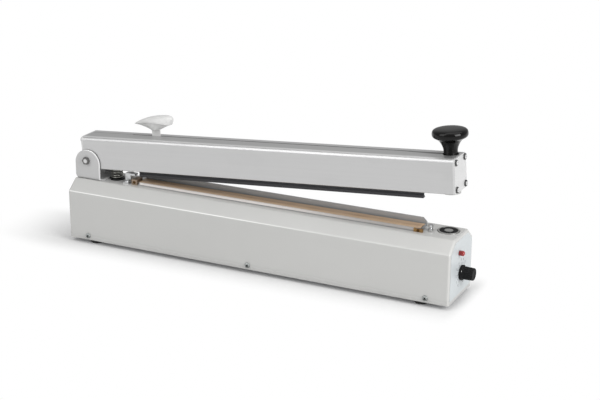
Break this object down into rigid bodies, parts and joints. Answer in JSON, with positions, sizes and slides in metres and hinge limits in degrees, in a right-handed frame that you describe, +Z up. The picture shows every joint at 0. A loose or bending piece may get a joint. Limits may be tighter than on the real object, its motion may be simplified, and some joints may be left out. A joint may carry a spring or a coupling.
{
  "type": "impulse heat sealer",
  "caption": "Table-top impulse heat sealer: a hinged sprung arm with a pressing rubber and a sliding cutter over a sealing bar, held down by a magnet.",
  "frame": {"origin": "on the table under the middle of the sealer's overall length and width, with the feet standing on it", "axes": "+X along the sealer to its control end, +Y to its rear, +Z up"},
  "size_m": [0.576, 0.0854, 0.2173],
  "materials": {
    "housing_paint": "smooth light grey powder coat",
    "tray_steel": "light grey coated sheet",
    "foot_rubber": "matt black",
    "zinc_screw": "bright zinc",
    "hinge_steel": "light grey coated sheet",
    "pin_steel": "turned steel",
    "spring_steel": "drawn spring wire",
    "arm_aluminium": "satin anodised",
    "bar_aluminium": "satin extruded",
    "bright_aluminium": "bright",
    "band_alloy": "rolled resistance strip",
    "tan_cloth": "coated glass cloth",
    "terminal_brass": "machined",
    "white_nylon": "moulded nylon",
    "black_plastic": "polished moulding",
    "black_resin": "cast resin",
    "magnet_steel": "ground soft iron",
    "seal_rubber": "dark silicone rubber",
    "panel_film": "printed polyester film",
    "lamp_red": "clear red lens",
    "pointer_white": "paint",
    "pale_plastic": "ivory moulding",
    "switch_plastic": "moulded",
    "core_iron": "varnished laminations",
    "winding_copper": "enamelled copper wire",
    "board_green": "solder mask",
    "board_black": "moulded cases",
    "blade_steel": "ground"
  },
  "bodies": {
    "base": {"base_housing": "housing_paint", "bottom_tray": "tray_steel", "rubber_feet": "foot_rubber", "side_screws": "zinc_screw", "small_screws": "zinc_screw", "bar_channel": "bar_aluminium", "sealing_bar": "bar_aluminium", "heating_band": "band_alloy", "nonstick_sheet": "tan_cloth", "clamp_strip": "bright_aluminium", "terminal_left": "terminal_brass", "terminal_right": "terminal_brass", "terminal_screws": "zinc_screw", "tension_bracket": "bright_aluminium", "post_bush": "white_nylon", "terminal_post": "zinc_screw", "hinge_bracket": "hinge_steel", "hinge_pin": "pin_steel", "hinge_nut": "pin_steel", "lift_spring": "spring_steel", "spring_seat": "black_resin", "magnet_pot": "magnet_steel", "magnet_resin": "black_resin", "magnet_bracket": "tray_steel", "magnet_bolt": "zinc_screw", "control_label": "panel_film", "potentiometer": "switch_plastic", "pot_nut": "zinc_screw", "lamp_lens": "lamp_red", "mains_gland": "switch_plastic", "microswitch": "switch_plastic", "transformer_core": "core_iron", "transformer_coil": "winding_copper", "transformer_strap": "tray_steel", "board_standoffs": "white_nylon", "circuit_board": "board_green", "board_parts": "board_black"},
    "arm": {"arm_profile": "arm_aluminium", "arm_end_plate_left": "arm_aluminium", "arm_end_plate_right": "arm_aluminium", "arm_end_screws": "zinc_screw", "hinge_block": "bar_aluminium", "pressure_rubber": "seal_rubber", "switch_peg": "pin_steel", "stud_guide": "white_nylon", "handle_spring": "spring_steel", "cutter_track": "bar_aluminium"},
    "handle": {"handle_knob": "black_plastic", "handle_stud": "pin_steel", "magnet_keeper": "magnet_steel"},
    "cutter_carriage": {"cutter_slider": "white_nylon", "cutter_springs": "spring_steel"},
    "cutter": {"cutter_plunger": "pale_plastic", "cutter_blade": "blade_steel", "cutter_knob": "pale_plastic"},
    "timer": {"timer_shaft": "pin_steel", "timer_knob": "black_plastic", "timer_pointer": "pointer_white"},
    "switch": {"switch_plunger": "switch_plastic"}
  },
  "joints": [
    {"name": "arm_hinge", "type": "hinge", "parent": "base", "child": "arm", "pos_m": [-0.25945, 0, 0.1126], "axis": [0, -1, 0], "range_deg": [-4.5, 25], "stiffness_Nm_per_rad": 15, "springref_deg": 9.17, "deforming": ["lift_spring"]},
    {"name": "handle_press", "type": "slide", "parent": "arm", "child": "handle", "axis": [0.0785, 0, -0.9969], "range_m": [0, 0.0082], "stiffness_N_per_m": 1500, "springref_m": -0.01, "deforming": ["handle_spring"]},
    {"name": "cutter_slide", "type": "slide", "parent": "arm", "child": "cutter_carriage", "axis": [0.9969, 0, 0.0785], "range_m": [-0.03, 0.36]},
    {"name": "cutter_press", "type": "slide", "parent": "cutter_carriage", "child": "cutter", "axis": [0.0785, 0, -0.9969], "range_m": [0, 0.0074], "stiffness_N_per_m": 300, "springref_m": -0.006, "deforming": ["cutter_springs"]},
    {"name": "timer_turn", "type": "hinge", "parent": "base", "child": "timer", "pos_m": [0.28005, 0, 0.0369], "axis": [-1, 0, 0], "range_deg": [-90, 210]},
    {"name": "switch_press", "type": "slide", "parent": "base", "child": "switch", "axis": [0, 0, -1], "range_m": [0, 0.002], "stiffness_N_per_m": 400, "springref_m": -0.003}
  ]
}
